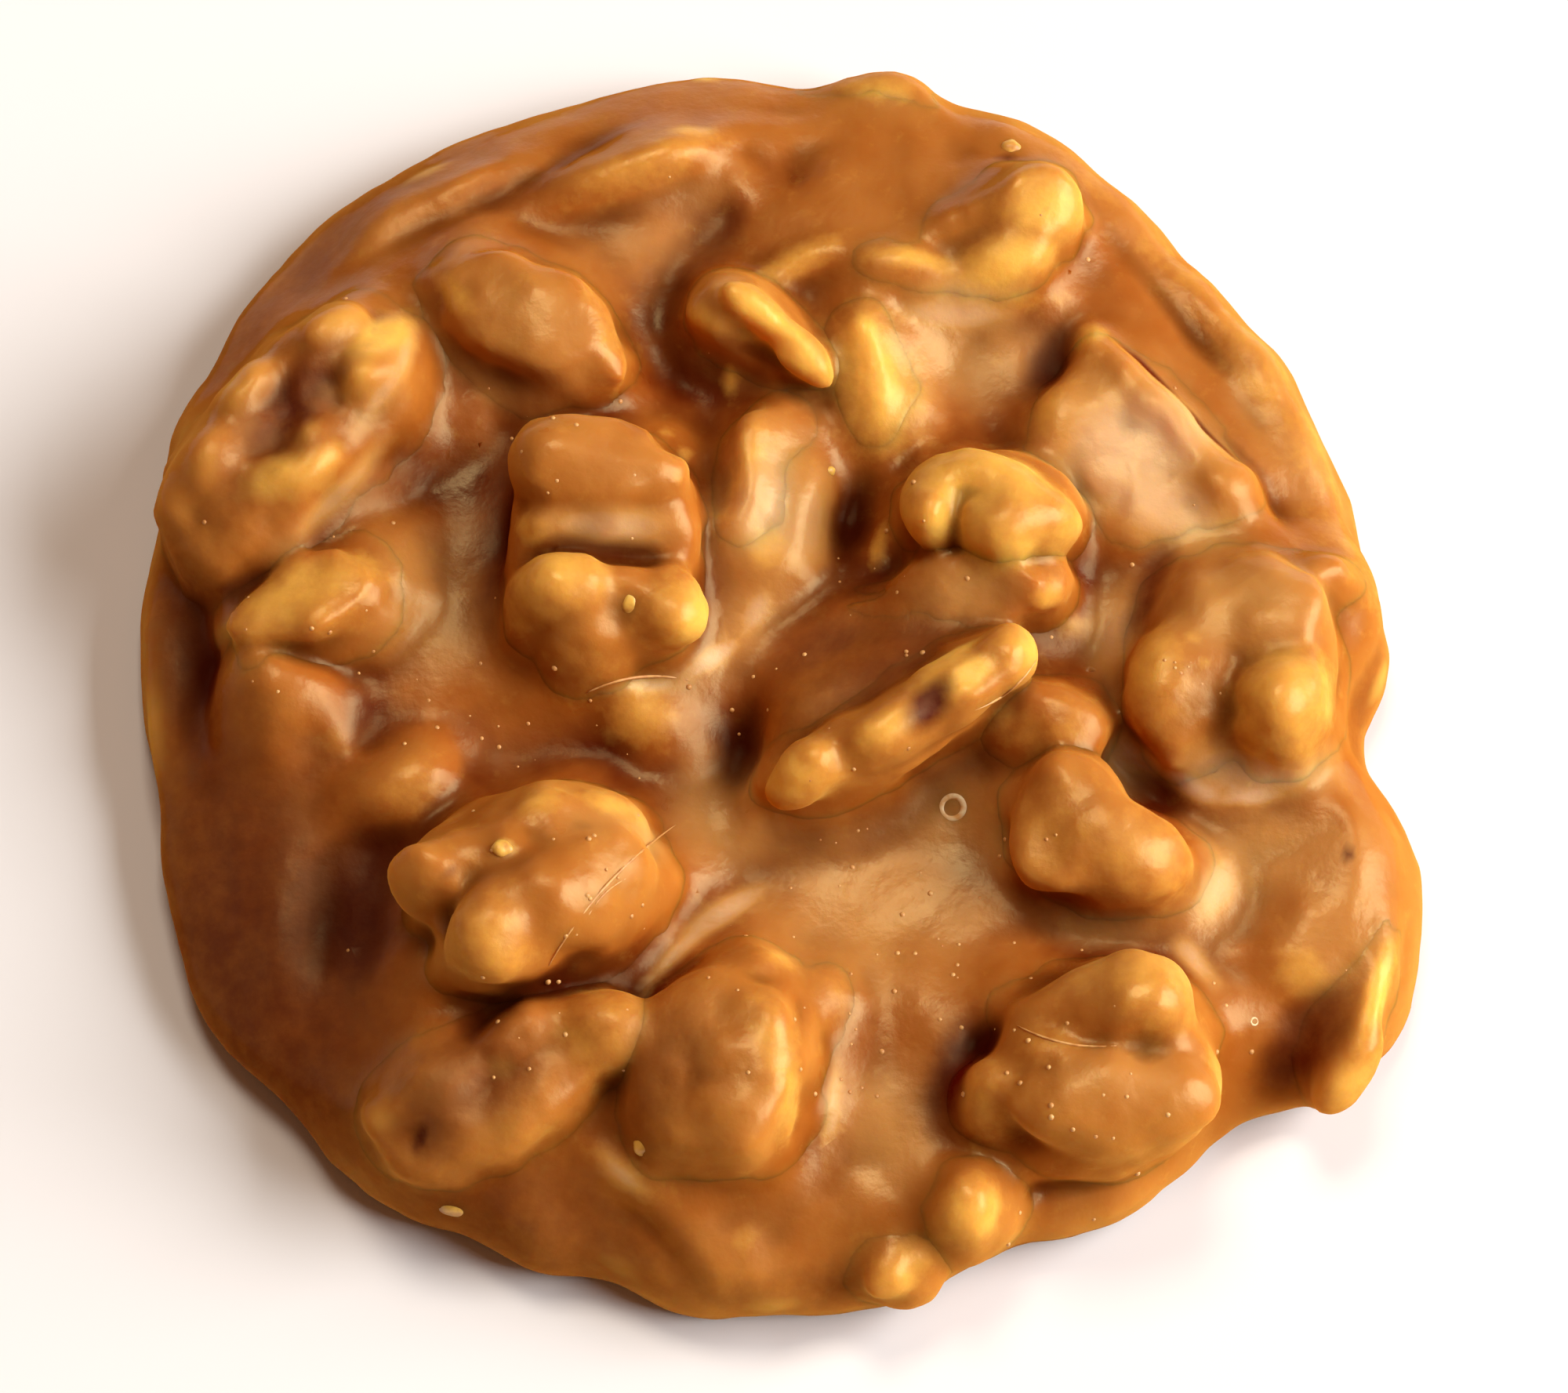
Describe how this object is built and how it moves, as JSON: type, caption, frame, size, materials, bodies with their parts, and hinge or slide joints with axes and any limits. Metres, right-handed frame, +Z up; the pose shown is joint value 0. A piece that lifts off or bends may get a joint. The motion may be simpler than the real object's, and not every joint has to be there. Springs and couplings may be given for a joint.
{
  "type": "pecan praline",
  "caption": "Round of glossy caramel candy with a rounded edge, a flat underside and pieces of pecan kernel half sunk in its lumpy top; a sweet to eat by hand.",
  "frame": {"origin": "on the flat underside, below the middle of the whole", "axes": "+Z up from the underside; -Y towards the viewer of the picture and +X to the viewer's right"},
  "size_m": [0.08, 0.083, 0.0163],
  "materials": {
    "candy": "glossy, slightly translucent caramel brown",
    "pecan": "golden kernel under a thin glossy coat of caramel"
  },
  "bodies": {
    "root": {"candy": "candy", "pecan_01": "pecan", "pecan_02": "pecan", "pecan_03": "pecan", "pecan_04": "pecan", "pecan_05": "pecan", "pecan_06": "pecan", "pecan_07": "pecan", "pecan_08": "pecan", "pecan_09": "pecan", "pecan_10": "pecan", "pecan_11": "pecan", "pecan_12": "pecan", "pecan_13": "pecan", "pecan_14": "pecan", "pecan_15": "pecan", "pecan_16": "pecan", "pecan_17": "pecan", "pecan_18": "pecan", "pecan_19": "pecan", "pecan_20": "pecan", "pecan_21": "pecan", "pecan_22": "pecan", "pecan_23": "pecan"}
  },
  "joints": []
}
